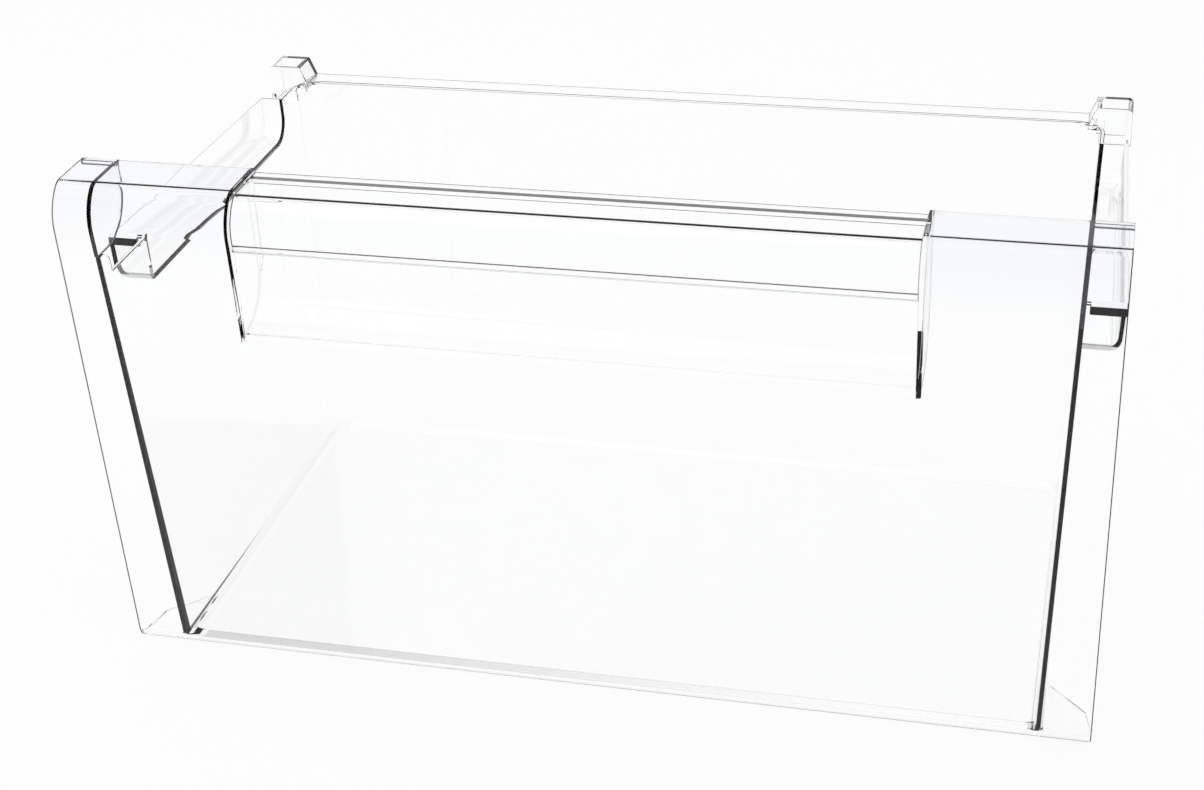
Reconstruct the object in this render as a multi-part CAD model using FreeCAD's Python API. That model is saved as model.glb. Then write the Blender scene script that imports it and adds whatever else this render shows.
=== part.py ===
import FreeCAD, Part
import math
import os

# Freezer drawer of clear plastic: an open-fronted tub that hangs by runners along its sides,
# a front panel with a finger scoop that closes the tub, and a grip bar across the scoop.
# +X is to the right of someone who faces the drawer, +Y runs back into the freezer and +Z is up.
# The origin is on the underside, at the middle of the width and of the depth. Millimetres and degrees.

# Overall size
width = 470.0
depth = 268.0
height = 255.0

# Walls, and the clearance between pieces that seat in each other
tub_wall = 2.2
panel_wall = 2.2
bar_wall = 2.2
fit_gap = 0.25

# Front panel, side view: flat top, two arcs for the brow, a leaning face, a rounded foot and a short sill
flange_depth = 37.0
sill_depth = 29.0
top_radius = 8.0
brow_radius = 22.0
brow_turn = 130.0
face_lean = 4.0
foot_radius = 8.0

# Front panel, the short lip under the back edge of each wing
wing_lip_drop = 4.4

# Front panel, webs that close the foot of its two wings
web_inner_depth = 63.0
web_outer_depth = 42.0
web_outer_inset = 3.0

# Handle opening and finger scoop
handle_half_width = 151.0
lip_drop = 73.0
lip_radius = 5.0
scoop_radius = 22.0
end_rib_drop = 50.0
end_rib_radius = 8.0

# Gussets over the ears: a straight edge down from the flange, then a quarter round
gusset_straight = 8.0

# Grip bar
bar_set_in = 2.0
bar_drop = 24.5
bar_bead_radius = 1.9
bar_top_depth = 37.5
bar_seat_depth = 3.4
bar_seat_height = 3.0
tongue_front = 16.0
tongue_back = 26.0
tongue_length = 1.8
tongue_wall = 1.4

# Tub. The panel's wings stand out past its sides, and its rim lies below the panel's top
rim_drop = 44.5
wing_width = 23.2
side_draft = 1.6
rear_draft = 3.0
corner_radius = 16.0
floor_radius = 8.0
rear_flange = 12.5

# Runners: the upper part of each side, stepped outwards
runner_front = 49.0
runner_back_gap = 39.0
runner_height = 23.0
runner_draw_in = 5.5
runner_edge_radius = 8.0
runner_front_radius = 4.0
runner_sweep_radius = 14.0
runner_draft = 3.0
stop_bar_height = 4.0
stop_bar_wall = 4.4
stop_bar_gap = 1.5

# Rear stop tabs, placed from the back edge, the rim and the tub's side
tab_back_gap = 2.0
tab_length = 17.0
tab_rise = 10.0
tab_skirt = 10.0
tab_overhang = 12.9
tab_reach_in = 4.8
tab_ramp_reach = 8.9
tab_radius = 3.0

# Ears: the front ends of the tub's sides, which rise above the rim behind the panel
ear_rise = 11.0
ear_depth = 14.0
ear_radius = 8.0

# Places worked out from the sizes
front_y = -depth / 2
back_y = depth / 2
flange_y = front_y + flange_depth
sill_y = front_y + sill_depth
ear_y = front_y + ear_depth
rear_top_y = back_y - rear_flange + tub_wall
rim_z = height - rim_drop
lip_z = height - lip_drop
bar_foot_z = height - bar_drop
side_foot_x = width / 2 - wing_width
runner_foot_z = rim_z - runner_height
runner_rear = depth - runner_back_gap
lean_tan = math.tan(math.radians(face_lean))
lean_cos = math.cos(math.radians(face_lean))
smallest_radius = 0.4
spare = 30.0


def yz(y, z):
    return FreeCAD.Vector(0, y, z)


def on_circle(centre, radius, degrees):
    """The point of a circle in the YZ plane at an angle counted from +Y towards +Z."""
    angle = math.radians(degrees)
    return centre + FreeCAD.Vector(0, radius * math.cos(angle), radius * math.sin(angle))


brow_centre = yz(front_y + brow_radius,
                 height - top_radius - (brow_radius - top_radius) * math.sin(math.radians(brow_turn)))
top_centre = on_circle(brow_centre, brow_radius - top_radius, brow_turn)
face_top = on_circle(brow_centre, brow_radius, 180 + face_lean)


def face_y(z, inset=0.0):
    """Where the leaning face is at a height, drawn in by inset."""
    return face_top.y + (face_top.z - z) * lean_tan + inset / lean_cos


def side_x(z):
    """Half the tub's outside width at a height."""
    return side_foot_x + z * math.tan(math.radians(side_draft))


def rear_y(z):
    """The outside of the tub's rear wall at a height."""
    return rear_top_y - (rim_z - z) * math.tan(math.radians(rear_draft))


def closed_wire(start, steps):
    """A closed wire. A step is (end,) for a straight line or (middle, end) for an arc."""
    edges = []
    here = start
    for step in steps:
        if len(step) == 1:
            edges.append(Part.LineSegment(here, step[0]).toShape())
        else:
            edges.append(Part.Arc(here, step[0], step[1]).toShape())
        here = step[-1]
    edges.append(Part.LineSegment(here, start).toShape())
    return Part.Wire(edges)


def across(wire, low_x, high_x):
    """The solid that a wire in the YZ plane makes from one X to another."""
    solid = Part.Face(wire).extrude(FreeCAD.Vector(high_x - low_x, 0, 0))
    solid.translate(FreeCAD.Vector(low_x, 0, 0))
    return solid


def block(low, high):
    size = [top - bottom for bottom, top in zip(low, high)]
    return Part.makeBox(size[0], size[1], size[2], FreeCAD.Vector(*low))


def both_sides(solid):
    """A solid of the right-hand side and its mirror image on the left."""
    return [solid, solid.mirror(FreeCAD.Vector(0, 0, 0), FreeCAD.Vector(1, 0, 0))]


def front_outline(inset, back):
    """The panel's side view as a closed wire, drawn in by inset and ending at y = back."""
    top_r = top_radius - inset
    brow_r = brow_radius - inset
    foot_r = foot_radius - inset
    face_end = 180 + face_lean
    foot_centre = yz(face_y(foot_radius, foot_radius), foot_radius)
    start = yz(back, height - inset)
    return closed_wire(start, [
        (on_circle(top_centre, top_r, 90),),
        (on_circle(top_centre, top_r, (90 + brow_turn) / 2), on_circle(top_centre, top_r, brow_turn)),
        (on_circle(brow_centre, brow_r, (brow_turn + face_end) / 2), on_circle(brow_centre, brow_r, face_end)),
        (on_circle(foot_centre, foot_r, face_end),),
        (on_circle(foot_centre, foot_r, (face_end + 270) / 2), on_circle(foot_centre, foot_r, 270)),
        (yz(back, inset),),
    ])


def along(corners, direction):
    """The solid that a closed line of corners makes when it is drawn out in a direction."""
    return Part.Face(Part.makePolygon(corners + corners[:1])).extrude(direction)


def tub_form(inset, top):
    """The tub's outside drawn in by inset, as a solid that runs on past the front panel.

    Its sides and back lean out, and its back corners and the edges of its floor are rounded.
    """
    front = front_y - spare
    low_half = side_x(inset) - inset
    top_half = side_x(top) - inset
    section = [FreeCAD.Vector(x, front, z) for x, z in
               ((-low_half, inset), (low_half, inset), (top_half, top), (-top_half, top))]
    side_view = [yz(front, inset), yz(rear_y(inset) - inset, inset), yz(rear_y(top) - inset, top), yz(front, top)]
    side_view = [corner - FreeCAD.Vector(width, 0, 0) for corner in side_view]
    form = along(section, FreeCAD.Vector(0, depth + 2 * spare, 0))
    form = form.common(along(side_view, FreeCAD.Vector(2 * width, 0, 0)))
    upright = [edge for edge in form.Edges if edge.BoundBox.ZLength > height / 4 and edge.BoundBox.YMin > 0]
    form = form.makeFillet(max(corner_radius - inset, smallest_radius), upright)
    floor_edges = []
    for edge in form.Edges:
        box = edge.BoundBox
        if box.ZMax < inset + smallest_radius and box.YMax > front_y:
            floor_edges.append(edge)
    return form.makeFillet(max(floor_radius - inset, smallest_radius), floor_edges)


def runner_half(y):
    """Half the drawer's width over the runners, which draw in towards the back."""
    run = (y - front_y - runner_front) / (runner_rear - runner_front)
    return width / 2 - runner_draw_in * run


def runner_form(inset, top):
    """The right-hand runner as a solid, drawn in by inset: open to the tub, its floor swept up at the back."""
    front = front_y + runner_front + inset
    rear = front_y + runner_rear - inset
    low = runner_foot_z + inset
    lean = math.tan(math.radians(runner_draft))
    root = side_foot_x - tub_wall
    outer_top = runner_half(front) - inset + (top - rim_z) * lean
    outer_low = runner_half(front) - inset + (low - rim_z) * lean
    section = [FreeCAD.Vector(x, front, z) for x, z in
               ((root, low), (outer_low, low), (outer_top, top), (root, top))]
    bar = along(section, FreeCAD.Vector(runner_half(rear) - runner_half(front), rear - front, 0))
    long_edges = []
    for edge in bar.Edges:
        box = edge.BoundBox
        if box.ZMax < low + smallest_radius and box.YLength > runner_sweep_radius:
            long_edges.append(edge)
    outer_edge = max(long_edges, key=lambda edge: edge.BoundBox.XMax)
    bar = bar.makeFillet(max(runner_edge_radius - inset, smallest_radius), [outer_edge])
    front_r = max(runner_front_radius - inset, smallest_radius)
    rear_r = runner_sweep_radius - inset
    front_centre = yz(front + front_r, low + front_r)
    rear_centre = yz(rear - rear_r, low + rear_r)
    side_view = closed_wire(yz(front, top), [
        (yz(front, low + front_r),),
        (on_circle(front_centre, front_r, 225), yz(front + front_r, low)),
        (yz(rear - rear_r, low),),
        (on_circle(rear_centre, rear_r, 315), yz(rear, low + rear_r)),
        (yz(rear, top),),
    ])
    return bar.common(across(side_view, 0, width))


def stop_bar():
    """The thick bar along the top of the right-hand runner's front end."""
    front = front_y + runner_front
    low = (side_x(rim_z) + stop_bar_gap, front + tub_wall - stop_bar_wall, rim_z - stop_bar_height)
    high = (width / 2, front + tub_wall, rim_z)
    return block(low, high)


def tab_block(inset, foot):
    """The right-hand rear tab, drawn in by inset, with a ramp on its inner side."""
    side = side_x(rim_z)
    top = rim_z + tab_rise - inset
    out = side + tab_overhang - inset
    ramp = side - tab_ramp_reach + inset
    radius = max(tab_radius - inset, smallest_radius)
    slant = radius * math.sqrt(0.5)
    front = back_y - tab_back_gap - tab_length + inset

    def at(x, z):
        return FreeCAD.Vector(x, front, z)

    wire = closed_wire(at(ramp, rim_z), [
        (at(side - tab_reach_in + inset, top),),
        (at(out - radius, top),),
        (at(out - radius + slant, top - radius + slant), at(out, top - radius)),
        (at(out, foot),),
        (at(ramp, foot),),
    ])
    return Part.Face(wire).extrude(FreeCAD.Vector(0, tab_length - 2 * inset, 0))


def rear_tab():
    """The right-hand rear tab as a thin-walled cap over the tub's corner, open below."""
    cap = tab_block(0, rim_z - tab_skirt)
    under_rim = block((0, front_y, 0), (side_x(rim_z) - tub_wall / 2, back_y, rim_z - tub_wall))
    return cap.cut([under_rim, tab_block(tub_wall, rim_z - tab_skirt - spare)])


def rim_flange():
    """The flat flange behind the top of the rear wall, between the tabs."""
    half = side_x(rim_z) - tab_reach_in
    low = (-half, rear_y(rim_z) - corner_radius, rim_z - tub_wall)
    high = (half, back_y, rim_z)
    return block(low, high).cut(tub_form(tub_wall, height))


def ears():
    """The front ends of both side walls where they stand above the rim, rounded down to it at the back."""
    walls = tub_form(0, height).cut(tub_form(tub_wall, height + spare))
    centre = yz(ear_y - ear_radius, rim_z + ear_rise - ear_radius)
    side_view = closed_wire(yz(front_y, rim_z - tub_wall), [
        (yz(front_y, rim_z + ear_rise),),
        (yz(centre.y, rim_z + ear_rise),),
        (on_circle(centre, ear_radius, 45), yz(ear_y, centre.z)),
        (yz(ear_y, rim_z - tub_wall),),
    ])
    return walls.common(across(side_view, -width, width))


def make_drawer_tub():
    """The tub: a thin drafted shell, open in front, where its side walls reach the panel's skin."""
    far = back_y + spare
    outside = tub_form(0, rim_z).fuse(both_sides(runner_form(0, rim_z)))
    hollow = tub_form(tub_wall, height).fuse(both_sides(runner_form(tub_wall, height)))
    tub = outside.cut(hollow).fuse(ears())
    seat = across(front_outline(panel_wall + fit_gap, far), -width, width)
    behind_sill = block((-width, sill_y, 0), (width, far, height))
    tub = tub.common(seat.fuse(behind_sill))
    extras = [rim_flange()] + both_sides(stop_bar()) + both_sides(rear_tab())
    return tub.fuse(extras).removeSplitter()


def scoop_outline(offset):
    """The side view of the space in and in front of the scoop, grown by offset into the panel's wall."""
    lip = yz(face_y(lip_z) + lip_radius, lip_z)
    hollow = yz(lip.y, lip_z + lip_radius + scoop_radius)
    lip_r = lip_radius - offset
    hollow_r = scoop_radius + offset
    front = front_y - spare
    top = height + spare
    return closed_wire(yz(front, lip_z), [
        (on_circle(lip, lip_r, 180),),
        (on_circle(lip, lip_r, 135), on_circle(lip, lip_r, 90)),
        (on_circle(hollow, hollow_r, 315), on_circle(hollow, hollow_r, 0)),
        (yz(hollow.y + hollow_r, top),),
        (yz(front, top),),
    ])


def scoop_space(offset):
    """The scoop's space as a solid, square at its ends, where the mouth has sharp corners."""
    half = handle_half_width + offset
    return across(scoop_outline(offset), -half, half)


def end_rib():
    """The rib that carries the scoop's right-hand end wall back to the flange's rear edge."""
    foot = height - end_rib_drop
    centre = yz(flange_y - end_rib_radius, foot + end_rib_radius)
    side_view = closed_wire(yz(front_y, foot), [
        (yz(centre.y, foot),),
        (on_circle(centre, end_rib_radius, 315), yz(flange_y, centre.z)),
        (yz(flange_y, height - panel_wall / 2),),
        (yz(front_y, height - panel_wall / 2),),
    ])
    return across(side_view, handle_half_width, handle_half_width + panel_wall)


def wing_lip():
    """The lip that turns down along the back edge of the right-hand wing."""
    return block((side_x(height) - panel_wall, flange_y - panel_wall, height - wing_lip_drop),
                 (width / 2, flange_y, height - panel_wall / 2))


def gussets():
    """The two ribs that stand over the ears, between the skin and the flange, rounded off at the back."""
    walls = tub_form(0, height).cut(tub_form(panel_wall, height + spare))
    low = rim_z + ear_rise + fit_gap
    radius = height - panel_wall - gusset_straight - low
    centre = yz(flange_y - radius, low + radius)
    side_view = closed_wire(yz(front_y, low), [
        (yz(centre.y, low),),
        (on_circle(centre, radius, 315), yz(flange_y, centre.z)),
        (yz(flange_y, height),),
        (yz(front_y, height),),
    ])
    return walls.common(across(side_view, -width, width))


def wing_web():
    """The web that closes the foot of the right-hand wing, with a slanted back edge."""
    inner_x = side_x(0) + fit_gap
    start = face_y(foot_radius) + foot_radius

    def at(x, y):
        return FreeCAD.Vector(x, y, 0)

    wire = closed_wire(at(inner_x, start), [
        (at(inner_x, front_y + web_inner_depth),),
        (at(width / 2 - web_outer_inset, front_y + web_outer_depth),),
        (at(width / 2, start),),
    ])
    return Part.Face(wire).extrude(FreeCAD.Vector(0, 0, panel_wall))


def bar_seat():
    """The ledge along the top of the scoop's back wall that the grip bar rests on."""
    wall_front = face_y(lip_z) + lip_radius + scoop_radius
    top = height - bar_set_in - bar_wall
    return block((-handle_half_width, wall_front, top - bar_seat_height),
                 (handle_half_width, wall_front + bar_seat_depth, top))


def tongue(grow):
    """The tongue at the right-hand end of the grip bar, grown by a clearance for its slot."""
    low_z = height - bar_set_in - bar_wall
    low = (handle_half_width - fit_gap - tongue_length, front_y + tongue_front - grow, low_z - grow)
    high = (handle_half_width - fit_gap + tongue_length, front_y + tongue_back + grow, low_z + tongue_wall + grow)
    return block(low, high)


def make_front_panel():
    """The panel: one skin from flange to sill, with gussets, wing webs and the finger scoop."""
    outside = across(front_outline(0, flange_y), -width / 2, width / 2)
    inside = across(front_outline(panel_wall, flange_y + spare), -width, width)
    behind_sill = block((-width, sill_y, -spare), (width, flange_y + spare, foot_radius))
    skin = outside.cut([inside, behind_sill])
    fittings = [scoop_space(panel_wall), gussets(), bar_seat()]
    for fitting in (end_rib(), wing_lip()):
        fittings += both_sides(fitting)
    within = across(front_outline(panel_wall / 2, flange_y + web_inner_depth), -width / 2, width / 2)
    fittings = [fitting.common(within) for fitting in fittings]
    scoop_front = scoop_space(panel_wall).common(outside)
    panel = skin.fuse(fittings + [scoop_front] + both_sides(wing_web()))
    bar_top = height - bar_set_in - bar_wall
    bar_room = block((-handle_half_width, front_y, bar_top), (handle_half_width, flange_y + spare, height + spare))
    gaps = [scoop_space(0), bar_room] + both_sides(tongue(fit_gap))
    return panel.cut(gaps).removeSplitter()


def make_grip_bar():
    """The bar: an L-shaped strip that follows the panel's brow, with a bead and end tongues."""
    half = handle_half_width - fit_gap
    back = front_y + bar_top_depth
    bar = across(front_outline(bar_set_in, back), -half, half)
    bar = bar.cut(across(front_outline(bar_set_in + bar_wall, back + spare), -width, width))
    bar = bar.cut(block((-width, front_y, -spare), (width, back + spare, bar_foot_z)))
    bead_y = face_y(bar_foot_z, bar_set_in + bar_wall / 2)
    bead = Part.makeCylinder(bar_bead_radius, 2 * half, FreeCAD.Vector(-half, bead_y, bar_foot_z),
                             FreeCAD.Vector(1, 0, 0))
    return bar.fuse([bead] + both_sides(tongue(0))).removeSplitter()


def save(name, shape):
    solids = shape.Solids
    print(name, "solids", len(solids), "valid", shape.isValid(), "volume", round(shape.Volume))
    solid = solids[0] if len(solids) == 1 else shape
    solid.exportStep(os.path.join("parts", name + ".step"))


os.makedirs("parts", exist_ok=True)
save("drawer_tub", make_drawer_tub())
save("front_panel", make_front_panel())
save("grip_bar", make_grip_bar())
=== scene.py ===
import math

import bmesh
import bpy
from bpy.props import FloatProperty, FloatVectorProperty, IntProperty, PointerProperty
from mathutils import Matrix, Vector


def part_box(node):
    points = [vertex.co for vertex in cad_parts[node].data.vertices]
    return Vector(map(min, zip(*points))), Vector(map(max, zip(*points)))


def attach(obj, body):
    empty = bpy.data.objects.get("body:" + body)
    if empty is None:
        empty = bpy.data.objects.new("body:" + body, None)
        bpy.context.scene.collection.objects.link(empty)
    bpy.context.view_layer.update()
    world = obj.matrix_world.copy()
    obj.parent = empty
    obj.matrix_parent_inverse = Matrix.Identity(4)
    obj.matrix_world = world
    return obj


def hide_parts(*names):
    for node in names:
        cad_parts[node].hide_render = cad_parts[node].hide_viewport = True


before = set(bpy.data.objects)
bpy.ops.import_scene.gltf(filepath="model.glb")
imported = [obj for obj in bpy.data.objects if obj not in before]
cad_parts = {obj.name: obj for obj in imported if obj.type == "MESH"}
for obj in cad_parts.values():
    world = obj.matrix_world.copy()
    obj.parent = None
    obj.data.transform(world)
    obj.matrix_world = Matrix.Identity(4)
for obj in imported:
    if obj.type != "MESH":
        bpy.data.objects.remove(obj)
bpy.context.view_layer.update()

bl_info = {
    "name": "Clear freezer drawer",
    "version": (1, 0, 0),
    "blender": (4, 5, 0),
    "location": "3D View > Sidebar > Drawer",
    "description": "Dresses a packed freezer drawer in clear polystyrene and sets it on a pale studio floor",
    "category": "Object",
}

BODY = "root"
MM = 0.001

# The panel's side view, in millimetres and degrees, which the grip bar follows
HEIGHT = 255.0
FRONT_Y = -134.0
TOP_RADIUS = 8.0
BROW_RADIUS = 22.0
BROW_TURN = 130.0
FACE_LEAN = 4.0

# The grip bar's own sizes, in millimetres
BAR_SET_IN = 2.0
BAR_WALL = 2.2
BAR_DROP = 24.5
BAR_BEAD_RADIUS = 1.9
TONGUE_FRONT = 16.0
TONGUE_BACK = 26.0
TONGUE_LENGTH = 1.8
TONGUE_WALL = 1.4
BAR_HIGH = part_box("grip_bar")[1]

# Where the sill ends, where its painted shade is greyest and where it is clear again, and where the panel's painted
# shade towards its top begins, in millimetres
SILL_Y = -105.0
SILL_HALF = 203.0
SILL_DARK_X = -190.0
SILL_CLEAR_X = 165.0
TOP_SHADE_Z = 215.0

# The inside and the outside of the finger scoop's end walls, and the wings' inner ends, in millimetres
SCOOP_HALF = 151.0
SCOOP_OUTSIDE = 153.2
WING_X = 219.0

# Where the faces lie that get a material of their own, mostly painted shade and painted light on the runners' rims and
# front roundings, in millimetres: from and to, or a single limit
WALL_X = 200.0
WALL_INSIDE_X = (198.0, 219.0)
WALL_Z = (2.4, 223.0)
WALL_FRONT_Y = -101.0
RUNNER_X = 216.0
RUNNER_FRONT_Y = (-95.0, -70.0)
RUNNER_FRONT_Z = (186.0, 205.5)
RUNNER_RIM_X = 218.5
RUNNER_RIM_Y = (-83.0, 76.0)
RUNNER_RIM_Z = 210.0
STOP_BAR_Y = (-90.0, -84.0)
STOP_BAR_Z = 206.0
FLANGE_Z = 250.0
FLANGE_BACK_Y = -98.5
BAR_SEAT_X = 152.0
BAR_SEAT_Y = (-105.0, -99.0)
SCOOP_BACK_Y = -129.0
SCOOP_BACK_Z = (176.0, 210.0)
SCOOP_END_X = (SCOOP_HALF, 154.0)
SCOOP_END_Z = (175.0, 206.0)
NEAR_SILL_Z = 8.0
SILL_TOP_Y = -104.0
SILL_TOP_Z = 6.0
GUSSET_X = (215.0, 219.5)
GUSSET_Z = (221.0, 252.6)
PANEL_END_X = 233.5
PANEL_END_Z = 3.0

# How much of a face's direction points one way, and how far a rounding turns between its first and last face
SLIGHTLY = 0.1
BARELY = 0.2
SOMEWHAT = 0.3
MOSTLY = 0.7
WHOLLY = 0.9
FRONT_ROUND_TURN = (0.15, 0.985)
END_ROUND_TURN = (0.2, 0.97)

# How a mesh is cleaned, in millimetres and degrees
MERGE_GAP = 0.03
SPECK = 0.002
FLAT_TURN = 0.3
CUT_SNAP = 0.001
FLOOR_JOINT_Z = 3.0

# The noise levels between which nearly all of a noise lies, and the gloss of cut edges
NOISE_LOW = 0.3
NOISE_HIGH = 0.7
EDGE_ROUGHNESS = 0.45
EDGE_SPECULAR = 0.2

# The floor, the lamp and the camera's sensor, in metres, and in millimetres for the sensor
FLOOR_REACH = 30.0
FLOOR_DROP = 0.0005
LAMP_SIZE = 1.4
LAMP_PLACE = (-0.5, -0.3, 1.6)
LAMP_AIM = (0.0, 0.0, 0.1)
SENSOR_WIDTH = 36.0
CLIP_START = 0.01


def drawer_settings():
    return bpy.context.scene.drawer


# ---------------------------------------------------------------- materials


def node_of(tree, kind, place, **inputs):
    """A new node at a place in the tree, with plain values for the inputs that are named."""
    node = tree.nodes.new(kind)
    node.location = place
    for name, value in inputs.items():
        node.inputs[name.replace("_", " ")].default_value = value
    return node


def fresh_material(name):
    material = bpy.data.materials.new(name)
    material.use_nodes = True
    material.node_tree.nodes.clear()
    return material, material.node_tree


def object_noise(tree, place, scale, detail):
    """Noise on the object's own coordinates."""
    coords = node_of(tree, "ShaderNodeTexCoord", (place[0] - 220, place[1]))
    noise = node_of(tree, "ShaderNodeTexNoise", place, Scale=scale, Detail=detail)
    tree.links.new(coords.outputs["Object"], noise.inputs["Vector"])
    return noise.outputs["Fac"]


def ranged(tree, place, value, low, high):
    """A 0 to 1 value spread between two others."""
    node = node_of(tree, "ShaderNodeMapRange", place)
    node.inputs["From Min"].default_value = NOISE_LOW
    node.inputs["From Max"].default_value = NOISE_HIGH
    node.inputs["To Min"].default_value = low
    node.inputs["To Max"].default_value = high
    tree.links.new(value, node.inputs["Value"])
    return node.outputs["Result"]


def set_colour(node, name, colour):
    """Sets the colour inputs of a Mix node, which shares its names between kinds of value."""
    for socket in node.inputs:
        if socket.name == name and socket.type == "RGBA":
            socket.default_value = (*colour, 1)


def colour_blend(tree, place, factor, first, second):
    """A blend of two plain colours by a factor."""
    node = tree.nodes.new("ShaderNodeMix")
    node.location = place
    node.data_type = "RGBA"
    set_colour(node, "A", first)
    set_colour(node, "B", second)
    tree.links.new(factor, next(s for s in node.inputs if s.name == "Factor" and s.type == "VALUE"))
    return next(s for s in node.outputs if s.type == "RGBA")


def clear_plastic(name, pale, deep, ramp=None, ior=None, apart=None):
    """Polished clear polystyrene: faint flow waves, a little haze in places, lamps shine through it.

    The tint follows the haze, or a ramp along the object's X or Z: (axis, pale end, deep end) in millimetres. The
    ramps
    paint shade: the sill greyer towards one end and the panel darker towards its top. It can be kept apart from the
    middle of the object by two distances in X.
    """
    settings = drawer_settings()
    material, tree = fresh_material(name)
    plastic = node_of(tree, "ShaderNodeBsdfPrincipled", (200, 0))
    plastic.inputs["IOR"].default_value = ior or settings.ior
    plastic.inputs["Transmission Weight"].default_value = 1.0
    plastic.inputs["Specular Tint"].default_value = (*settings.gloss, 1)
    haze = object_noise(tree, (-500, 0), settings.haze_scale, 3.0)
    tree.links.new(ranged(tree, (-280, -60), haze, settings.polish, settings.haze), plastic.inputs["Roughness"])
    depth = ramp_along(tree, (-280, 300), *ramp) if ramp else haze
    if apart:
        sides = ramp_along(tree, (-280, 520), "X", *apart, fold=True)
        both = node_of(tree, "ShaderNodeMath", (-160, 400))
        both.operation = "MULTIPLY"
        for socket, part in zip(both.inputs, (depth, sides)):
            tree.links.new(part, socket)
        depth = both.outputs[0]
    tree.links.new(colour_blend(tree, (-60, 160), depth, pale, deep), plastic.inputs["Base Color"])
    flow = object_noise(tree, (-500, -320), settings.flow_scale, 1.0)
    bump = node_of(tree, "ShaderNodeBump", (-60, -320))
    bump.inputs["Strength"].default_value = settings.flow_strength
    bump.inputs["Distance"].default_value = settings.flow_depth
    tree.links.new(flow, bump.inputs["Height"])
    tree.links.new(bump.outputs["Normal"], plastic.inputs["Normal"])
    see_through = node_of(tree, "ShaderNodeBsdfTransparent", (200, 220))
    see_through.inputs["Color"].default_value = (*settings.lamp_tint, 1)
    path = node_of(tree, "ShaderNodeLightPath", (200, 560))
    choose = node_of(tree, "ShaderNodeMixShader", (500, 0))
    tree.links.new(path.outputs["Is Shadow Ray"], choose.inputs[0])
    tree.links.new(plastic.outputs["BSDF"], choose.inputs[1])
    tree.links.new(see_through.outputs["BSDF"], choose.inputs[2])
    output = node_of(tree, "ShaderNodeOutputMaterial", (720, 0))
    tree.links.new(choose.outputs["Shader"], output.inputs["Surface"])
    return material


def painted_edge_shading(name, darkest, palest):
    """A cut end of a clear wall painted one flat colour: near black for painted shade where light trapped in the wall
    shows dark, pale for painted light where the white floor shows through it.
    """
    material, tree = fresh_material(name)
    cut = node_of(tree, "ShaderNodeBsdfPrincipled", (200, 0), Roughness=EDGE_ROUGHNESS)
    cut.inputs["IOR"].default_value = drawer_settings().ior
    cut.inputs["Specular IOR Level"].default_value = EDGE_SPECULAR
    grain = object_noise(tree, (-500, 0), drawer_settings().haze_scale, 3.0)
    tree.links.new(colour_blend(tree, (-60, 0), grain, darkest, palest), cut.inputs["Base Color"])
    output = node_of(tree, "ShaderNodeOutputMaterial", (480, 0))
    tree.links.new(cut.outputs["BSDF"], output.inputs["Surface"])
    return material


def ramp_along(tree, place, axis, start, end, fold=False):
    """0 at one place along an axis of the object and 1 at another, in millimetres; folded, the same both ways."""
    coords = node_of(tree, "ShaderNodeTexCoord", (place[0] - 660, place[1]))
    parts = node_of(tree, "ShaderNodeSeparateXYZ", (place[0] - 440, place[1]))
    tree.links.new(coords.outputs["Object"], parts.inputs[0])
    value = parts.outputs[axis]
    if fold:
        size = node_of(tree, "ShaderNodeMath", (place[0] - 220, place[1]))
        size.operation = "ABSOLUTE"
        tree.links.new(value, size.inputs[0])
        value = size.outputs[0]
    return smooth_step(tree, place, value, (start * MM, end * MM), (0.0, 1.0))


def smooth_step(tree, place, value, between, levels):
    """A level that changes softly between two values."""
    step = node_of(tree, "ShaderNodeMapRange", place)
    step.interpolation_type = "SMOOTHSTEP"
    for name, number in zip(("From Min", "From Max", "To Min", "To Max"), (*between, *levels)):
        step.inputs[name].default_value = number
    tree.links.new(value, step.inputs["Value"])
    return step.outputs["Result"]


# ------------------------------------------------------------------- meshes


def new_piece(name, mesh):
    piece = bpy.data.objects.new(name, mesh)
    bpy.context.scene.collection.objects.link(piece)
    return piece


def soften(form, width, least_turn, test):
    """Rounds the outer edges of a form that turn by more than least_turn and pass a test."""
    edges = [edge for edge in form.edges
             if edge.is_convex and edge.calc_face_angle(0) > least_turn and test(edge)]
    bmesh.ops.bevel(form, geom=edges, offset=width, offset_type="OFFSET", segments=2, profile=0.5, affect="EDGES",
                    clamp_overlap=False, loop_slide=True, miter_outer="ARC", spread=width / 4, material=-1)


def keep_inside(form, low, high):
    """Brings back any point that a rounded corner has pushed out of a box."""
    for vert in form.verts:
        vert.co = [min(max(value, least), most) for value, least, most in zip(vert.co, low, high)]


def is_floor_joint(edge):
    """Whether an edge lies where the panel's sill meets the tub's floor, which is a closed joint."""
    return all(vert.co.z < FLOOR_JOINT_Z * MM and abs(vert.co.y - SILL_Y * MM) < MM for vert in edge.verts)


def split_faces(form, faces, point, normal):
    """Splits some faces of a form along a plane."""
    edges = {edge for face in faces for edge in face.edges}
    points = {vert for edge in edges for vert in edge.verts}
    bmesh.ops.bisect_plane(form, geom=[*points, *edges, *faces], dist=CUT_SNAP * MM, plane_co=point,
                           plane_no=normal)


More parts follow.
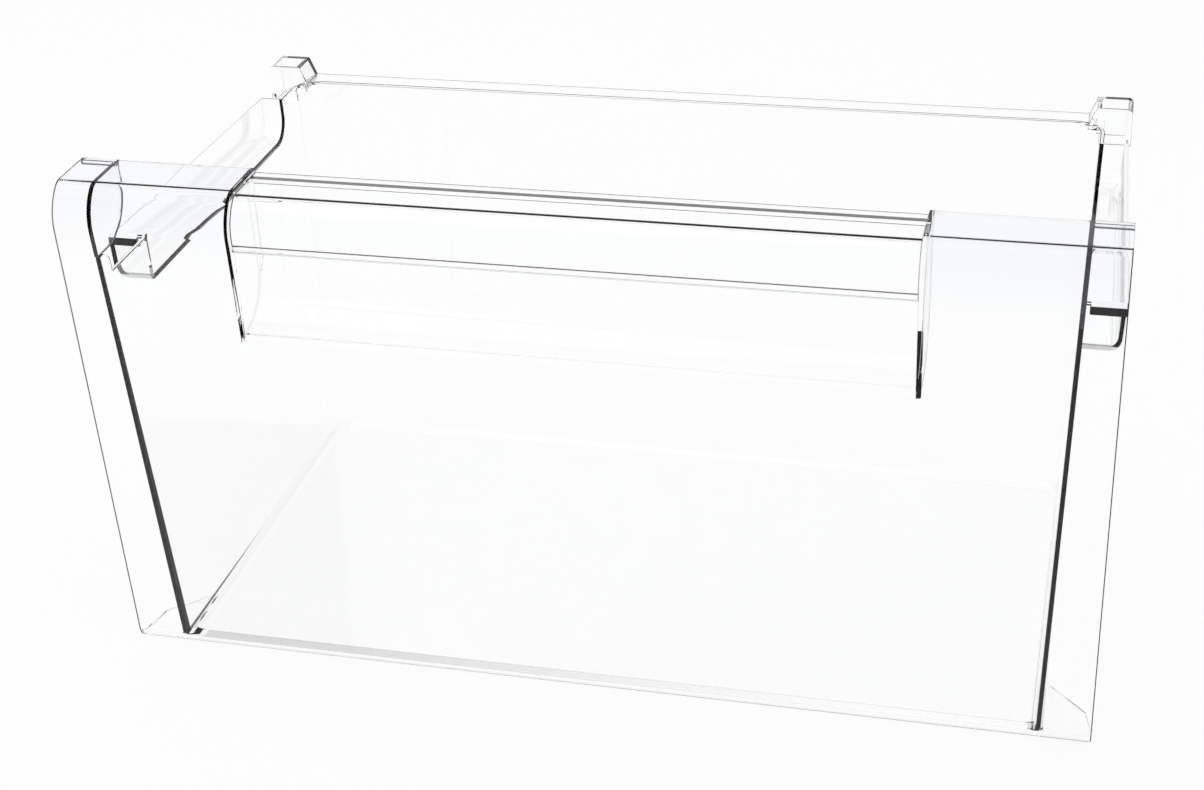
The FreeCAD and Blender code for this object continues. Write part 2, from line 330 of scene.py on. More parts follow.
def mould_finish(mesh, node, cuts=()):
    """Makes a mesh's flat faces whole, softens its outer edges and draws it in by a hair.

    The hair parts the seated faces of two pieces. A cut splits, on both sides, the faces whose middles pass a
    test at a distance from the object's middle, in millimetres.
    """
    settings = drawer_settings()
    form = bmesh.new()
    form.from_mesh(mesh)
    bmesh.ops.remove_doubles(form, verts=form.verts, dist=MERGE_GAP * MM)
    bmesh.ops.dissolve_degenerate(form, edges=form.edges, dist=SPECK * MM)
    bmesh.ops.dissolve_limit(form, angle_limit=math.radians(FLAT_TURN), verts=form.verts, edges=form.edges,
                             delimit={"NORMAL"})
    soften(form, settings.edge_round, settings.edge_turn, lambda edge: not is_floor_joint(edge))
    keep_inside(form, *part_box(node))
    for half, test in cuts:
        for x in (-half, half):
            faces = [face for face in form.faces if test(face.calc_center_median() / MM)]
            split_faces(form, faces, (x * MM, 0, 0), (1, 0, 0))
    form.normal_update()
    for vert in form.verts:
        vert.co -= vert.normal * settings.ease * vert.calc_shell_factor()
    form.to_mesh(mesh)
    form.free()


def moulded_copy(node, name, cuts=()):
    """A merged and finished copy of a solid's mesh."""
    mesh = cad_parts[node].data.copy()
    mesh.name = name
    if "custom_normal" in mesh.attributes:
        mesh.attributes.remove(mesh.attributes["custom_normal"])
    mould_finish(mesh, node, cuts)
    mesh.materials.clear()
    return new_piece(name, mesh)


def on_circle(centre, radius, degrees):
    """The point of a circle in the YZ plane at an angle counted from +Y towards +Z."""
    return centre + Vector((0, math.cos(math.radians(degrees)), math.sin(math.radians(degrees)))) * radius


def brow_path(inset, back, foot):
    """The corners of the panel's side view drawn in by inset, from the top's back edge to the foot, with radii."""
    rise = (BROW_RADIUS - TOP_RADIUS) * math.sin(math.radians(BROW_TURN))
    brow = Vector((0, FRONT_Y + BROW_RADIUS, HEIGHT - TOP_RADIUS - rise))
    top = on_circle(brow, BROW_RADIUS - TOP_RADIUS, BROW_TURN)
    face_end = 180 + FACE_LEAN
    face_top = on_circle(brow, BROW_RADIUS - inset, face_end)
    corners = [Vector((0, back, HEIGHT - inset))]
    radii = [0.0]
    for centre, radius, start, end in ((top, TOP_RADIUS - inset, 90, BROW_TURN),
                                       (brow, BROW_RADIUS - inset, BROW_TURN, face_end)):
        reach = radius / math.cos(math.radians(end - start) / 2)
        corners.append(on_circle(centre, reach, (start + end) / 2))
        radii.append(radius)
    corners.append(Vector((0, face_top.y + (face_top.z - foot) * math.tan(math.radians(FACE_LEAN)), foot)))
    radii.append(0.0)
    return corners, radii


def node_tree(name, sockets):
    """An empty tree of geometry nodes with named inputs after its path, and one output."""
    tree = bpy.data.node_groups.new(name, "GeometryNodeTree")
    tree.interface.new_socket("Path", in_out="INPUT", socket_type="NodeSocketGeometry")
    for label, kind in sockets:
        tree.interface.new_socket(label, in_out="INPUT", socket_type=kind)
    tree.interface.new_socket("Geometry", in_out="OUTPUT", socket_type="NodeSocketGeometry")
    return tree, tree.nodes.new("NodeGroupInput"), tree.nodes.new("NodeGroupOutput")


def joined(tree, kind, links, **settings):
    """A new geometry node with its settings, and with links or plain values for its inputs by number."""
    node = tree.nodes.new(kind)
    for name, value in settings.items():
        setattr(node, name, value)
    for number, source in links.items():
        if hasattr(source, "is_output"):
            tree.links.new(source, node.inputs[number])
        else:
            node.inputs[number].default_value = source
    return node.outputs[0]


def at_x(tree, x, place):
    """A point at an X given by a socket, and at the Y and Z of a place given by another."""
    parts = tree.nodes.new("ShaderNodeSeparateXYZ")
    tree.links.new(place, parts.inputs[0])
    return joined(tree, "ShaderNodeCombineXYZ", {0: x, 1: parts.outputs[1], 2: parts.outputs[2]})


def strip_tree():
    """The tree of a moulded strip: a flat section drawn along a rounded path, a bead and two end tongues."""
    tree, given, result = node_tree("Moulded strip", (
        ("Half width", "NodeSocketFloat"), ("Wall", "NodeSocketFloat"), ("Steps per turn", "NodeSocketInt"),
        ("Bead place", "NodeSocketVector"), ("Bead radius", "NodeSocketFloat"), ("Bead steps", "NodeSocketInt"),
        ("Tongue place", "NodeSocketVector"), ("Tongue size", "NodeSocketVector"),
        ("Plastic", "NodeSocketMaterial")))
    value = given.outputs
    turn = tree.nodes.new("GeometryNodeInputNamedAttribute")
    turn.data_type = "FLOAT"
    turn.inputs["Name"].default_value = "turn_radius"
    path = joined(tree, "GeometryNodeMeshToCurve", {0: value["Path"]})
    fillet = tree.nodes.new("GeometryNodeFilletCurve")
    fillet.mode = "POLY"
    tree.links.new(path, fillet.inputs["Curve"])
    tree.links.new(value["Steps per turn"], fillet.inputs["Count"])
    tree.links.new(turn.outputs[0], fillet.inputs["Radius"])
    full = joined(tree, "ShaderNodeMath", {0: value["Half width"], 1: 2.0}, operation="MULTIPLY")
    minus = joined(tree, "ShaderNodeMath", {0: value["Half width"], 1: -1.0}, operation="MULTIPLY")
    section = tree.nodes.new("GeometryNodeCurvePrimitiveQuadrilateral")
    tree.links.new(full, section.inputs["Width"])
    tree.links.new(value["Wall"], section.inputs["Height"])
    strip = swept(tree, fillet.outputs[0], section.outputs[0])
    line = joined(tree, "GeometryNodeCurvePrimitiveLine", {0: at_x(tree, minus, value["Bead place"]),
                                                           1: at_x(tree, value["Half width"], value["Bead place"])})
    ring = tree.nodes.new("GeometryNodeCurvePrimitiveCircle")
    tree.links.new(value["Bead steps"], ring.inputs["Resolution"])
    tree.links.new(value["Bead radius"], ring.inputs["Radius"])
    bead = swept(tree, line, ring.outputs[0])
    ends = tree.nodes.new("GeometryNodeMeshLine")
    ends.mode = "END_POINTS"
    ends.inputs["Count"].default_value = 2
    tree.links.new(at_x(tree, minus, value["Tongue place"]), ends.inputs["Start Location"])
    tree.links.new(at_x(tree, value["Half width"], value["Tongue place"]), ends.inputs["Offset"])
    cube = joined(tree, "GeometryNodeMeshCube", {0: value["Tongue size"]})
    spread = tree.nodes.new("GeometryNodeInstanceOnPoints")
    tree.links.new(ends.outputs[0], spread.inputs["Points"])
    tree.links.new(cube, spread.inputs["Instance"])
    tongues = joined(tree, "GeometryNodeRealizeInstances", {0: spread.outputs[0]})
    union = tree.nodes.new("GeometryNodeMeshBoolean")
    union.operation = "UNION"
    union.solver = "EXACT"
    for part in (strip, bead, tongues):
        tree.links.new(part, union.inputs[1])
    whole = joined(tree, "GeometryNodeRealizeInstances", {0: union.outputs[0]})
    dressed = tree.nodes.new("GeometryNodeSetMaterial")
    tree.links.new(whole, dressed.inputs["Geometry"])
    tree.links.new(value["Plastic"], dressed.inputs["Material"])
    tree.links.new(dressed.outputs[0], result.inputs[0])
    return tree


def swept(tree, path, section):
    """A closed form that a section makes when it is drawn along a path."""
    node = tree.nodes.new("GeometryNodeCurveToMesh")
    tree.links.new(path, node.inputs["Curve"])
    tree.links.new(section, node.inputs["Profile Curve"])
    node.inputs["Fill Caps"].default_value = True
    return node.outputs[0]


def grown(name, corners, radii, tree, values):
    """A piece that a tree of geometry nodes makes from a path, kept as a plain mesh."""
    mesh = bpy.data.meshes.new(name)
    mesh.from_pydata([corner * MM for corner in corners], [(n, n + 1) for n in range(len(corners) - 1)], [])
    turns = mesh.attributes.new("turn_radius", "FLOAT", "POINT")
    turns.data.foreach_set("value", [radius * MM for radius in radii])
    piece = new_piece(name, mesh)
    modifier = piece.modifiers.new(tree.name, "NODES")
    modifier.node_group = tree
    for item in tree.interface.items_tree:
        if item.name in values:
            modifier[item.identifier] = values[item.name]
    settle(piece)
    return piece


def wall_front(mesh):
    """A point on the leaning front end of the tub's side walls and the way it faces."""
    faces = [face for face in mesh.polygons if wall_front_end(face.center / MM, face.normal)]
    area = sum(face.area for face in faces)
    point = sum((face.center * face.area for face in faces), Vector()) / area
    normal = sum((face.normal * face.area for face in faces), Vector())
    normal.x = 0
    return point, normal.normalized()


def cut_faces(mesh, point, normal, test):
    """Splits the faces of a mesh that pass a test along a plane."""
    form = bmesh.new()
    form.from_mesh(mesh)
    faces = [face for face in form.faces if test(face.calc_center_median() / MM, face.normal)]
    split_faces(form, faces, point, normal)
    form.to_mesh(mesh)
    form.free()


def strip_behind(point, normal, depth):
    """A test for the inner faces of the side walls within a depth of their front ends, in millimetres."""
    def inner_strip(place, way):
        return side_wall_inside(place, way) and (point / MM - place).dot(normal) < depth
    return inner_strip


def mark_faces(piece, material, test):
    """Gives the faces whose middle, in millimetres, and direction pass a test a material of their own."""
    number = piece.data.materials.find(material.name)
    if number < 0:
        piece.data.materials.append(material)
        number = len(piece.data.materials) - 1
    found = [face for face in piece.data.polygons if test(face.center / MM, face.normal)]
    for face in found:
        face.material_index = number


def shade(piece, crease):
    """Smooth shading that stays flat on flat faces and keeps the edges sharper than crease."""
    mesh = piece.data
    mesh.polygons.foreach_set("use_smooth", [True] * len(mesh.polygons))
    mesh.set_sharp_from_angle(angle=crease)
    weighted = piece.modifiers.new("Even shading", "WEIGHTED_NORMAL")
    weighted.keep_sharp = True
    weighted.weight = 100
    settle(piece)


def settle(piece):
    """Turns a piece and its modifiers into one plain mesh."""
    graph = bpy.context.evaluated_depsgraph_get()
    result = bpy.data.meshes.new_from_object(piece.evaluated_get(graph), preserve_all_data_layers=True,
                                             depsgraph=graph)
    old = piece.data
    piece.modifiers.clear()
    piece.data = result
    result.name = piece.name
    bpy.data.meshes.remove(old)


def dress(piece, node):
    """Puts a finished piece in place of a node."""
    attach(piece, BODY)
    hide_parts(node)


# ---------------------------------------------------------------- operators


class DrawerSettings(bpy.types.PropertyGroup):
    """What a user would change on the drawer."""

    ior: FloatProperty(name="Refraction", description="Index of refraction of the clear plastic",
                       default=1.59, min=1.1, max=1.8)
    panel_ior: FloatProperty(name="Panel refraction", description="Index of refraction seen in the front panel",
                             default=1.4, min=1.1, max=1.8)
    # Painted shade: how far the near-black paint reaches back from the side walls' front ends
    painted_shade_depth: FloatProperty(name="Dark edge depth", description="How far the dark front edges reach into the walls",
                              default=0.003, min=0.0, max=0.02, unit="LENGTH")
    # Painted light: the pale colour painted on the runners' rims and front roundings, standing in for the white floor
    # seen through the clear plastic
    rim_painted_light: FloatVectorProperty(name="Pale edge", description="Colour of the runners' pale rims and front roundings",
                                  subtype="COLOR", default=(0.96, 0.965, 0.97), min=0.0, max=1.0)
    polish: FloatProperty(name="Polish", description="Roughness where the mould was polished best",
                          default=0.0, min=0.0, max=0.14)
    haze: FloatProperty(name="Haze", description="Roughness where the plastic is a little hazy",
                        default=0.03, min=0.0, max=0.14)
    haze_scale: FloatProperty(name="Haze scale", description="Size of the hazy patches, higher is finer",
                              default=22.0, min=1.0, max=200.0)
    flow_scale: FloatProperty(name="Flow scale", description="Size of the flow waves, higher is finer",
                              default=9.0, min=1.0, max=100.0)
    flow_strength: FloatProperty(name="Flow strength", description="Strength of the flow waves",
                                 default=0.04, min=0.0, max=1.0)
    flow_depth: FloatProperty(name="Flow depth", description="Depth of the flow waves",
                              default=0.0006, min=0.0, max=0.01, unit="LENGTH")
    pale: FloatVectorProperty(name="Pale tint", description="Tint of the clear plastic where it is palest",
                              subtype="COLOR", default=(0.998, 0.999, 1.0), min=0.0, max=1.0)
    deep: FloatVectorProperty(name="Deep tint", description="Tint of the clear plastic where it is deepest",
                              subtype="COLOR", default=(0.99, 0.994, 0.997), min=0.0, max=1.0)
    lamp_tint: FloatVectorProperty(name="Lamp tint", description="What a wall lets through of a lamp's light",
                                   subtype="COLOR", default=(0.96, 0.965, 0.97), min=0.0, max=1.0)
    gloss: FloatVectorProperty(name="Gloss", description="How strongly the clear plastic mirrors what faces it",
                               subtype="COLOR", default=(0.25, 0.25, 0.25), min=0.0, max=1.0)
    # Painted shade: the darker, bluer grey painted on the panel towards its top flange
    top_painted_shade: FloatVectorProperty(name="Top tint", description="Tint of the panel towards its top flange",
                                  subtype="COLOR", default=(0.945, 0.953, 0.968), min=0.0, max=1.0)
    # Painted shade: the dark grey painted on the gussets' back edges
    gusset_painted_shade: FloatVectorProperty(name="Gusset edge", description="Colour of the back edges of the gussets",
                                     subtype="COLOR", default=(0.10, 0.10, 0.11), min=0.0, max=1.0)
    # Painted shade: near-black colours painted on cut edges where light trapped in the clear walls shows dark
    edge_shade_black: FloatVectorProperty(name="Dark edge", description="Colour of the dark cut edges where deepest",
                                    subtype="COLOR", default=(0.002, 0.002, 0.003), min=0.0, max=1.0)
    edge_shade_grey: FloatVectorProperty(name="Dark edge, palest", description="Colour of the dark cut edges where palest",
                                   subtype="COLOR", default=(0.008, 0.008, 0.009), min=0.0, max=1.0)
    # Painted shade: the grey painted on the sill's top, greyest at its left end and clear towards its right
    sill_shade: FloatVectorProperty(name="Sill shade", description="Tint of the sill where it is greyest",
                                    subtype="COLOR", default=(0.5, 0.51, 0.52), min=0.0, max=1.0)
    turn_steps: IntProperty(name="Turn steps", description="Steps in each rounding of the grip bar's path",
                            default=20, min=2, max=60)
    bead_steps: IntProperty(name="Bead steps", description="Sides of the bead along the grip bar's foot",
                            default=32, min=6, max=64)
    ease: FloatProperty(name="Ease", description="How far each piece is drawn in, so that seated faces part",
                        default=0.00004, min=0.0, max=0.001, unit="LENGTH")
    edge_round: FloatProperty(name="Edge round", description="How far the outer edges are softened",
                              default=0.0005, min=0.0, max=0.001, unit="LENGTH")
    edge_turn: FloatProperty(name="Edge turn", description="Edges that turn by more than this are softened",
                             default=math.radians(40.0), min=0.0, max=math.pi, subtype="ANGLE")
    crease: FloatProperty(name="Crease", description="Edges sharper than this stay sharp",
                          default=math.radians(28.0), min=0.0, max=math.pi, subtype="ANGLE")


class StageSettings(bpy.types.PropertyGroup):
    """The studio round the drawer."""

    camera_place: FloatVectorProperty(name="Camera", description="Where the camera stands", subtype="TRANSLATION",
                                      default=(0.229, -0.9391, 0.6345), unit="LENGTH")
    yaw: FloatProperty(name="Yaw", description="Which way the camera is turned, to the right of straight back",
                       default=math.radians(-14.84), subtype="ANGLE")
    pitch: FloatProperty(name="Pitch", description="How far the camera looks up", default=math.radians(-28.94),
                         subtype="ANGLE")
    roll: FloatProperty(name="Roll", description="How far the camera leans", default=math.radians(-2.52),
                        subtype="ANGLE")
    lens: FloatProperty(name="Lens", description="Focal length on a 36 mm wide sensor, in millimetres",
                        default=65.36, min=10.0, max=300.0)
    floor_colour: FloatVectorProperty(name="Floor", description="Colour of the floor", subtype="COLOR",
                                      default=(0.93, 0.935, 0.94), min=0.0, max=1.0)
    floor_glow: FloatProperty(name="Floor white", description="Share of plain white in what is seen of the floor",
                              default=0.9, min=0.0, max=1.0)
    studio_level: FloatProperty(name="Studio level", description="Strength of the studio's even light",
                                default=0.75, min=0.0, max=3.0)
    dark_from: FloatProperty(name="Ceiling from", description="Height above the horizon where the dark ceiling begins",
                             default=math.radians(3.0), subtype="ANGLE")
    dark_to: FloatProperty(name="Ceiling full", description="Height above the horizon where the ceiling is darkest",
                           default=math.radians(12.0), subtype="ANGLE")
    bright_from: FloatProperty(name="Overhead from", description="Height where the overhead light begins",
                               default=math.radians(30.0), subtype="ANGLE")
    bright_to: FloatProperty(name="Overhead full", description="Height where the overhead light is brightest",
                             default=math.radians(58.0), subtype="ANGLE")
    front_from: FloatProperty(name="Front from", description="How far back from the zenith the front light begins",
                              default=-0.3, min=-1.0, max=1.0)
    front_to: FloatProperty(name="Front full", description="How far to the front its light is full",
                            default=-0.6, min=-1.0, max=1.0)
    front_level: FloatProperty(name="Front level", description="What the plastic sees of the light in front",
                               default=1.0, min=0.0, max=1.0)
    overhead: FloatProperty(name="Overhead level", description="What the plastic sees of the light overhead",
                            default=0.4, min=0.0, max=1.0)
    card_turn: FloatProperty(name="Card turn", description="Which way the white card stands from straight back",
                             default=math.radians(-15.0), subtype="ANGLE")
    card_height: FloatProperty(name="Card height", description="How high the white card stands above the horizon",
                               default=math.radians(35.0), subtype="ANGLE")
    card_radius: FloatProperty(name="Card radius", description="How wide the white card is, as an angle",
                               default=math.radians(20.0), subtype="ANGLE")
    card_blur: FloatProperty(name="Card blur", description="How softly the white card ends, as an angle",
                             default=math.radians(5.0), subtype="ANGLE")
    ceiling: FloatProperty(name="Ceiling level", description="What the plastic sees of the dark ceiling",
                           default=0.05, min=0.0, max=1.0)
    lamp_power: FloatProperty(name="Lamp power", description="Power of the large soft lamp", default=9.0,
                              min=0.0, max=200.0, unit="POWER")


def within(value, span):
    """Whether a value lies between the two ends of a span."""
    return span[0] < value < span[1]


def wall_front_end(place, way):
    """The front ends of the tub's side walls, which meet the panel."""
    return way.y < -SOMEWHAT and abs(place.x) > WALL_X and within(place.z, WALL_Z) and place.y < WALL_FRONT_Y


def side_wall_inside(place, way):
    """The inner faces of the tub's side walls."""
    faces_in = way.x * place.x < 0 and abs(way.x) > WHOLLY
    return faces_in and within(abs(place.x), WALL_INSIDE_X) and within(place.z, WALL_Z)


def stop_bar_front(place, way):
    """The front of the thick bar along the top of each runner's front end."""
    on_bar = abs(place.x) > RUNNER_X and place.z > STOP_BAR_Z and within(place.y, STOP_BAR_Y)
    return on_bar and way.y < -SOMEWHAT


def runner_rim(place, way):
    """The rim along the outer wall of each runner."""
    on_rim = abs(place.x) > RUNNER_RIM_X and place.z > RUNNER_RIM_Z and within(place.y, RUNNER_RIM_Y)
    return on_rim and way.z > SOMEWHAT


def runner_front_round(place, way):
    """The rounding round the closed front end of each runner."""
    at_front = within(place.y, RUNNER_FRONT_Y) and within(place.z, RUNNER_FRONT_Z)
    return at_front and abs(place.x) > RUNNER_X and within(abs(way.y), FRONT_ROUND_TURN)


def scoop_wall_top(place, way):
    """The top of the scoop's back wall, where the grip bar lies on it."""
    at_top = place.z > FLANGE_Z and abs(place.x) < BAR_SEAT_X
    return at_top and way.z > MOSTLY and within(place.y, BAR_SEAT_Y)


def flange_back(place):
    """Whether a place is on the back edge of the flange."""
    return place.y > FLANGE_BACK_Y and place.z > FLANGE_Z


def wing_back_edge(place, way):
    """The back edge of each wing."""
    return flange_back(place) and way.y > SOMEWHAT and abs(place.x) > WING_X


def behind_scoop(place):
    """Whether a place is on the back of the finger scoop."""
    return place.y > SCOOP_BACK_Y and within(place.z, SCOOP_BACK_Z)


def near_sill(place):
    """Whether a place is low on the panel."""
    return place.z < NEAR_SILL_Z


def sill_top(place, way):
    """The upper side of the sill and of the foot's rounding, between the tub's rounded edges."""
    on_sill = place.z < SILL_TOP_Z and place.y < SILL_TOP_Y and abs(place.x) < SILL_HALF
    return on_sill and way.z > SOMEWHAT


def gusset_back(place, way):
    """The rounded back edges of the gussets."""
    on_gusset = within(abs(place.x), GUSSET_X) and within(place.z, GUSSET_Z)
    return on_gusset and (way.y > SOMEWHAT or way.z < -SOMEWHAT)


def scoop_end_back(place, way):
    """The back edge of the scoop's right end wall, below the rib that carries it."""
    on_end = within(place.x, SCOOP_END_X) and within(place.z, SCOOP_END_Z)
    return on_end and (way.y > BARELY or way.z < -BARELY)


def panel_end_round(place, way):
    """The rounding along the outside of the panel's two outer ends."""
    at_end = abs(place.x) > PANEL_END_X and place.z > PANEL_END_Z
    return at_end and within(abs(way.x), END_ROUND_TURN) and way.y < -SLIGHTLY


class DRAWER_OT_tub(bpy.types.Operator):
    """Makes the clear tub with its runners, ears and rear stop tabs"""

    bl_idname = "drawer.tub"
    bl_label = "Tub"

    def execute(self, context):
        settings = drawer_settings()
        piece = moulded_copy("drawer_tub", "clear_tub")
        point, normal = wall_front(piece.data)
        # Painted shade: a strip of the side walls' inner faces behind their front ends is split off to be painted near
        # black
        inner = strip_behind(point, normal, settings.painted_shade_depth / MM)
        cut_faces(piece.data, point - normal * settings.painted_shade_depth, normal, side_wall_inside)
        piece.data.materials.append(clear_plastic("Clear tub plastic", settings.pale, settings.deep))
        shade(piece, settings.crease)
        # Painted shade: the side walls' front ends, the strip behind them and the stop bars' fronts are painted near
        # black where light trapped in the clear walls shows dark
        ends = painted_edge_shading("Tub edges with painted shade", settings.edge_shade_black, settings.edge_shade_grey)
        mark_faces(piece, ends, wall_front_end)
        mark_faces(piece, ends, stop_bar_front)
        mark_faces(piece, ends, inner)
        # Painted light: the runners' rims and front roundings are painted an opaque pale colour where the white floor
        # would show through the clear plastic
        rims = painted_edge_shading("Tub edges with painted light", settings.rim_painted_light, settings.rim_painted_light)
        mark_faces(piece, rims, runner_rim)
        mark_faces(piece, rims, runner_front_round)
        dress(piece, "drawer_tub")
        return {"FINISHED"}


class DRAWER_OT_panel(bpy.types.Operator):
    """Makes the clear front panel with its finger scoop"""

    bl_idname = "drawer.panel"
    bl_label = "Front panel"

    def execute(self, context):
        settings = drawer_settings()
        cuts = ((SCOOP_HALF, behind_scoop), (WING_X, flange_back), (SILL_HALF, near_sill))
        piece = moulded_copy("front_panel", "clear_panel", cuts)
        # Painted shade: the panel is painted darker towards its top flange, outside the finger scoop
        piece.data.materials.append(clear_plastic("Clear panel plastic", settings.pale, settings.top_painted_shade,
                                                  ("Z", TOP_SHADE_Z, HEIGHT), settings.panel_ior,
                                                  (SCOOP_HALF, SCOOP_OUTSIDE)))
        shade(piece, settings.crease)
        # Painted shade: the top of the scoop's back wall, the wings' back edges, the right scoop end's back edge and
        # the roundings at the panel's ends are painted near black where light trapped in the clear walls shows dark
        edges = painted_edge_shading("Panel edges with painted shade", settings.edge_shade_black, settings.edge_shade_grey)
        mark_faces(piece, edges, scoop_wall_top)
        mark_faces(piece, edges, wing_back_edge)
        mark_faces(piece, edges, scoop_end_back)
        mark_faces(piece, edges, panel_end_round)
        # Painted shade: the gussets' rounded back edges are painted dark grey
        mark_faces(piece, painted_edge_shading("Gusset edges with painted shade", settings.gusset_painted_shade, settings.gusset_painted_shade), gusset_back)
        # Painted shade: the sill's top is painted grey, greyest towards its left end and clear towards its right
        mark_faces(piece, clear_plastic("Sill with painted shade", settings.sill_shade, settings.pale,
                                        ("X", SILL_DARK_X, SILL_CLEAR_X), settings.panel_ior), sill_top)
        dress(piece, "front_panel")
        return {"FINISHED"}


class DRAWER_OT_bar(bpy.types.Operator):
    """Makes the clear grip bar over the finger scoop from its rounded path, its bead and its end tongues"""

    bl_idname = "drawer.bar"
    bl_label = "Grip bar"

    def execute(self, context):
        settings = drawer_settings()
        foot = HEIGHT - BAR_DROP
        corners, radii = brow_path(BAR_SET_IN + BAR_WALL / 2, BAR_HIGH[1] / MM, foot)
        plastic = clear_plastic("Clear bar plastic", settings.pale, settings.deep)
        low = HEIGHT - BAR_SET_IN - BAR_WALL
        half = BAR_HIGH[0] - TONGUE_LENGTH * MM
        piece = grown("clear_bar", corners, radii, strip_tree(), {
            "Half width": half,
            "Wall": BAR_WALL * MM,
            "Steps per turn": settings.turn_steps,
            "Bead place": corners[-1] * MM,
            "Bead radius": BAR_BEAD_RADIUS * MM,
            "Bead steps": settings.bead_steps,
            "Tongue place": Vector((0, FRONT_Y + (TONGUE_FRONT + TONGUE_BACK) / 2, low + TONGUE_WALL / 2)) * MM,
            "Tongue size": Vector((2 * TONGUE_LENGTH, TONGUE_BACK - TONGUE_FRONT, TONGUE_WALL)) * MM,
            "Plastic": plastic,
        })
        mould_finish(piece.data, "grip_bar")
        shade(piece, settings.crease)
        dress(piece, "grip_bar")
        return {"FINISHED"}


def floor_material(stage):
    """A pale floor that is seen as white and keeps the drawer's shadow."""
    material, tree = fresh_material("Studio floor")
    mottle = object_noise(tree, (-500, 0), 3.0, 2.0)
    pale = stage.floor_colour
    colour = colour_blend(tree, (-60, 0), mottle, pale, [channel * 0.99 for channel in pale])
    matt = node_of(tree, "ShaderNodeBsdfDiffuse", (200, 0))
    tree.links.new(colour, matt.inputs["Color"])
    white = node_of(tree, "ShaderNodeEmission", (200, -200), Strength=1.0)
    seen = seen_rays(tree, (-300, 500))
    share = node_of(tree, "ShaderNodeMath", (200, 300))
    share.operation = "MULTIPLY"
    share.inputs[1].default_value = stage.floor_glow
    tree.links.new(seen, share.inputs[0])
    mix = node_of(tree, "ShaderNodeMixShader", (450, 0))
    tree.links.new(share.outputs[0], mix.inputs[0])
    tree.links.new(matt.outputs[0], mix.inputs[1])
    tree.links.new(white.outputs[0], mix.inputs[2])
    output = node_of(tree, "ShaderNodeOutputMaterial", (680, 0))
    tree.links.new(mix.outputs[0], output.inputs["Surface"])
    return material


def seen_rays(tree, place):
    """1 for rays that end in the picture: from the camera, through the plastic or off its gloss."""
    path = node_of(tree, "ShaderNodeLightPath", place)
    total = path.outputs["Is Camera Ray"]
    for number, name in enumerate(("Is Glossy Ray", "Is Transmission Ray")):
        join = node_of(tree, "ShaderNodeMath", (place[0] + 200 * (number + 1), place[1]))
        join.operation = "MAXIMUM"
        tree.links.new(total, join.inputs[0])
        tree.links.new(path.outputs[name], join.inputs[1])
        total = join.outputs[0]
    return total


def studio_world(stage):
    """A white studio whose ceiling is dark, as dark flags over a bright table draw the edges of clear things."""
    world = bpy.data.worlds.new("Studio")
    bpy.context.scene.world = world
    world.use_nodes = True
    tree = world.node_tree
    tree.nodes.clear()
    coords = node_of(tree, "ShaderNodeTexCoord", (-900, 0))
    parts = node_of(tree, "ShaderNodeSeparateXYZ", (-700, 0))
    tree.links.new(coords.outputs["Generated"], parts.inputs[0])
    fall = smooth_step(tree, (-500, 0), parts.outputs["Z"], (math.sin(stage.dark_from), math.sin(stage.dark_to)),
                       (1.0, stage.ceiling))
    rise = smooth_step(tree, (-500, 200), parts.outputs["Z"],
                       (math.sin(stage.bright_from), math.sin(stage.bright_to)), (0.0, stage.overhead))
    toward = node_of(tree, "ShaderNodeVectorMath", (-700, -300))
    toward.operation = "DOT_PRODUCT"
    toward.inputs[1].default_value = (math.sin(stage.card_turn) * math.cos(stage.card_height),
                                      math.cos(stage.card_turn) * math.cos(stage.card_height),
                                      math.sin(stage.card_height))
    tree.links.new(coords.outputs["Generated"], toward.inputs[0])
    card = smooth_step(tree, (-500, -300), toward.outputs["Value"],
                       (math.cos(stage.card_radius + stage.card_blur), math.cos(stage.card_radius)), (0.0, 1.0))
    path = node_of(tree, "ShaderNodeLightPath", (-500, 400))
    front = smooth_step(tree, (-500, 600), parts.outputs["Y"], (stage.front_from, stage.front_to),
                        (0.0, stage.front_level))
    white = fall
    for number, other in enumerate((rise, card, front, path.outputs["Is Camera Ray"])):
        join = node_of(tree, "ShaderNodeMath", (-250 + 150 * number, 100))
        join.operation = "MAXIMUM"
        tree.links.new(white, join.inputs[0])
        tree.links.new(other, join.inputs[1])
        white = join.outputs[0]
    seen = node_of(tree, "ShaderNodeBackground", (50, 100))
    tree.links.new(white, seen.inputs["Strength"])
    light = node_of(tree, "ShaderNodeBackground", (0, -100), Strength=stage.studio_level)
    for background in (seen, light):
        background.inputs["Color"].default_value = (1, 1, 1, 1)
    mix = node_of(tree, "ShaderNodeMixShader", (250, 0))
    tree.links.new(seen_rays(tree, (-500, 700)), mix.inputs[0])
    tree.links.new(light.outputs[0], mix.inputs[1])
    tree.links.new(seen.outputs[0], mix.inputs[2])
    output = node_of(tree, "ShaderNodeOutputWorld", (480, 0))
    tree.links.new(mix.outputs[0], output.inputs["Surface"])


def camera_matrix(stage):
    """Where the camera stands and looks: first turned, then tilted, then leaned."""
    ahead = Vector((math.sin(stage.yaw) * math.cos(stage.pitch), math.cos(stage.yaw) * math.cos(stage.pitch),
                    math.sin(stage.pitch)))
    level = Vector((math.cos(stage.yaw), -math.sin(stage.yaw), 0))
    upright = level.cross(ahead)
    right = math.cos(stage.roll) * level + math.sin(stage.roll) * upright
    up = math.cos(stage.roll) * upright - math.sin(stage.roll) * level
    turn = Matrix((right, up, -ahead)).transposed().to_4x4()
    return Matrix.Translation(stage.camera_place) @ turn


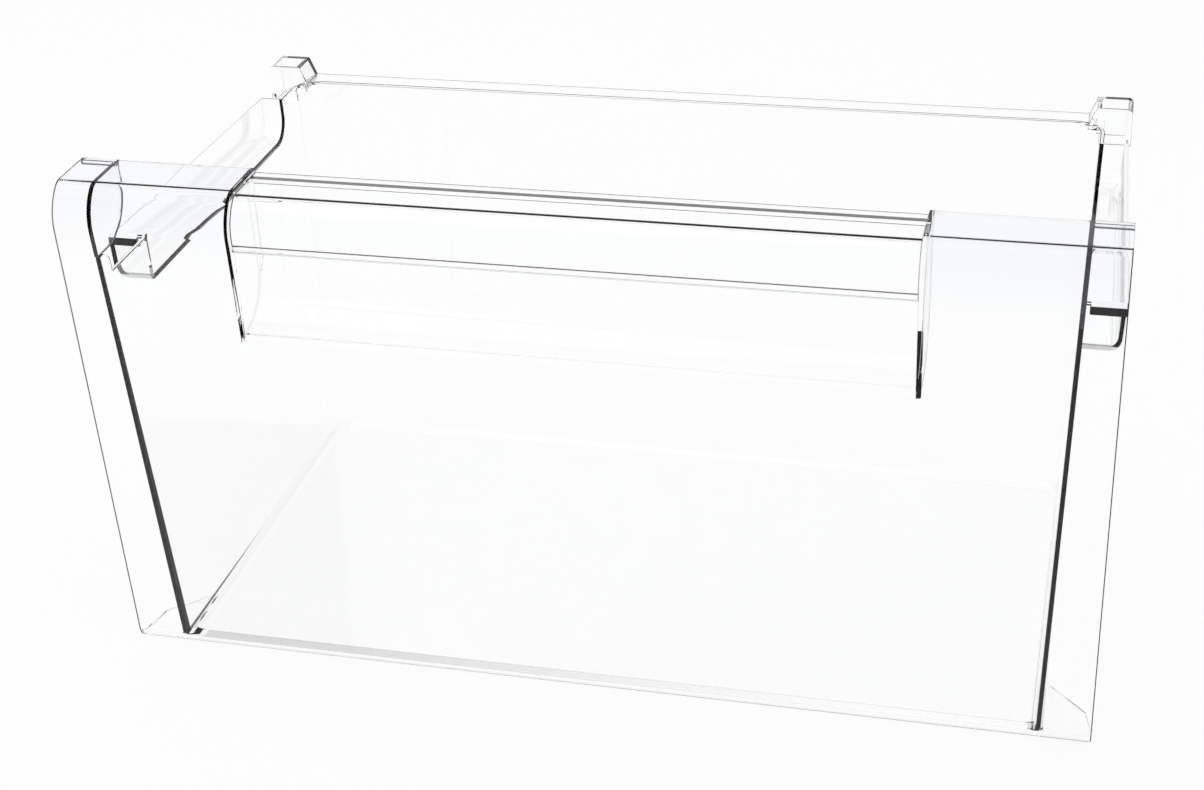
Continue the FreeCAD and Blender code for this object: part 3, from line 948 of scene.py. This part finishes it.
class DRAWER_OT_stage(bpy.types.Operator):
    """Makes the floor, the studio's light, the lamps and the camera"""

    bl_idname = "drawer.stage"
    bl_label = "Stage"

    def execute(self, context):
        stage = context.scene.drawer_stage
        reach = FLOOR_REACH
        mesh = bpy.data.meshes.new("studio_floor")
        mesh.from_pydata([(-reach, -reach, 0), (reach, -reach, 0), (reach, reach, 0), (-reach, reach, 0)], [],
                         [(0, 1, 2, 3)])
        floor = new_piece("studio_floor", mesh)
        floor.location.z = -FLOOR_DROP
        mesh.materials.append(floor_material(stage))
        studio_world(stage)
        lamp_data = bpy.data.lights.new("Soft lamp", "AREA")
        lamp_data.shape = "SQUARE"
        lamp_data.size = LAMP_SIZE
        lamp_data.energy = stage.lamp_power
        lamp = new_piece("soft_lamp", lamp_data)
        lamp.location = LAMP_PLACE
        lamp.rotation_euler = (Vector(LAMP_AIM) - lamp.location).to_track_quat("-Z", "Y").to_euler()
        camera_data = bpy.data.cameras.new("Camera")
        camera_data.lens = stage.lens
        camera_data.sensor_width = SENSOR_WIDTH
        camera_data.sensor_fit = "HORIZONTAL"
        camera_data.clip_start = CLIP_START
        camera = new_piece("camera", camera_data)
        camera.matrix_world = camera_matrix(stage)
        context.scene.camera = camera
        context.scene.view_settings.view_transform = "Standard"
        return {"FINISHED"}


class VIEW3D_PT_drawer(bpy.types.Panel):
    """Lists the drawer's pieces and settings"""

    bl_label = "Clear freezer drawer"
    bl_idname = "VIEW3D_PT_drawer"
    bl_space_type = "VIEW_3D"
    bl_region_type = "UI"
    bl_category = "Drawer"

    def draw(self, context):
        for operator in OPERATORS:
            self.layout.operator(operator.bl_idname)
        for group in (context.scene.drawer, context.scene.drawer_stage):
            box = self.layout.box()
            for name in group.bl_rna.properties.keys():
                if name not in ("rna_type", "name"):
                    box.prop(group, name)


OPERATORS = (DRAWER_OT_stage, DRAWER_OT_tub, DRAWER_OT_panel, DRAWER_OT_bar)
CLASSES = (DrawerSettings, StageSettings) + OPERATORS + (VIEW3D_PT_drawer,)


def register():
    for item in CLASSES:
        bpy.utils.register_class(item)
    bpy.types.Scene.drawer = PointerProperty(type=DrawerSettings)
    bpy.types.Scene.drawer_stage = PointerProperty(type=StageSettings)


def unregister():
    del bpy.types.Scene.drawer_stage
    del bpy.types.Scene.drawer
    for item in reversed(CLASSES):
        bpy.utils.unregister_class(item)


def main():
    register()
    bpy.ops.drawer.stage()
    bpy.ops.drawer.tub()
    bpy.ops.drawer.panel()
    bpy.ops.drawer.bar()


if __name__ == "__main__":
    main()
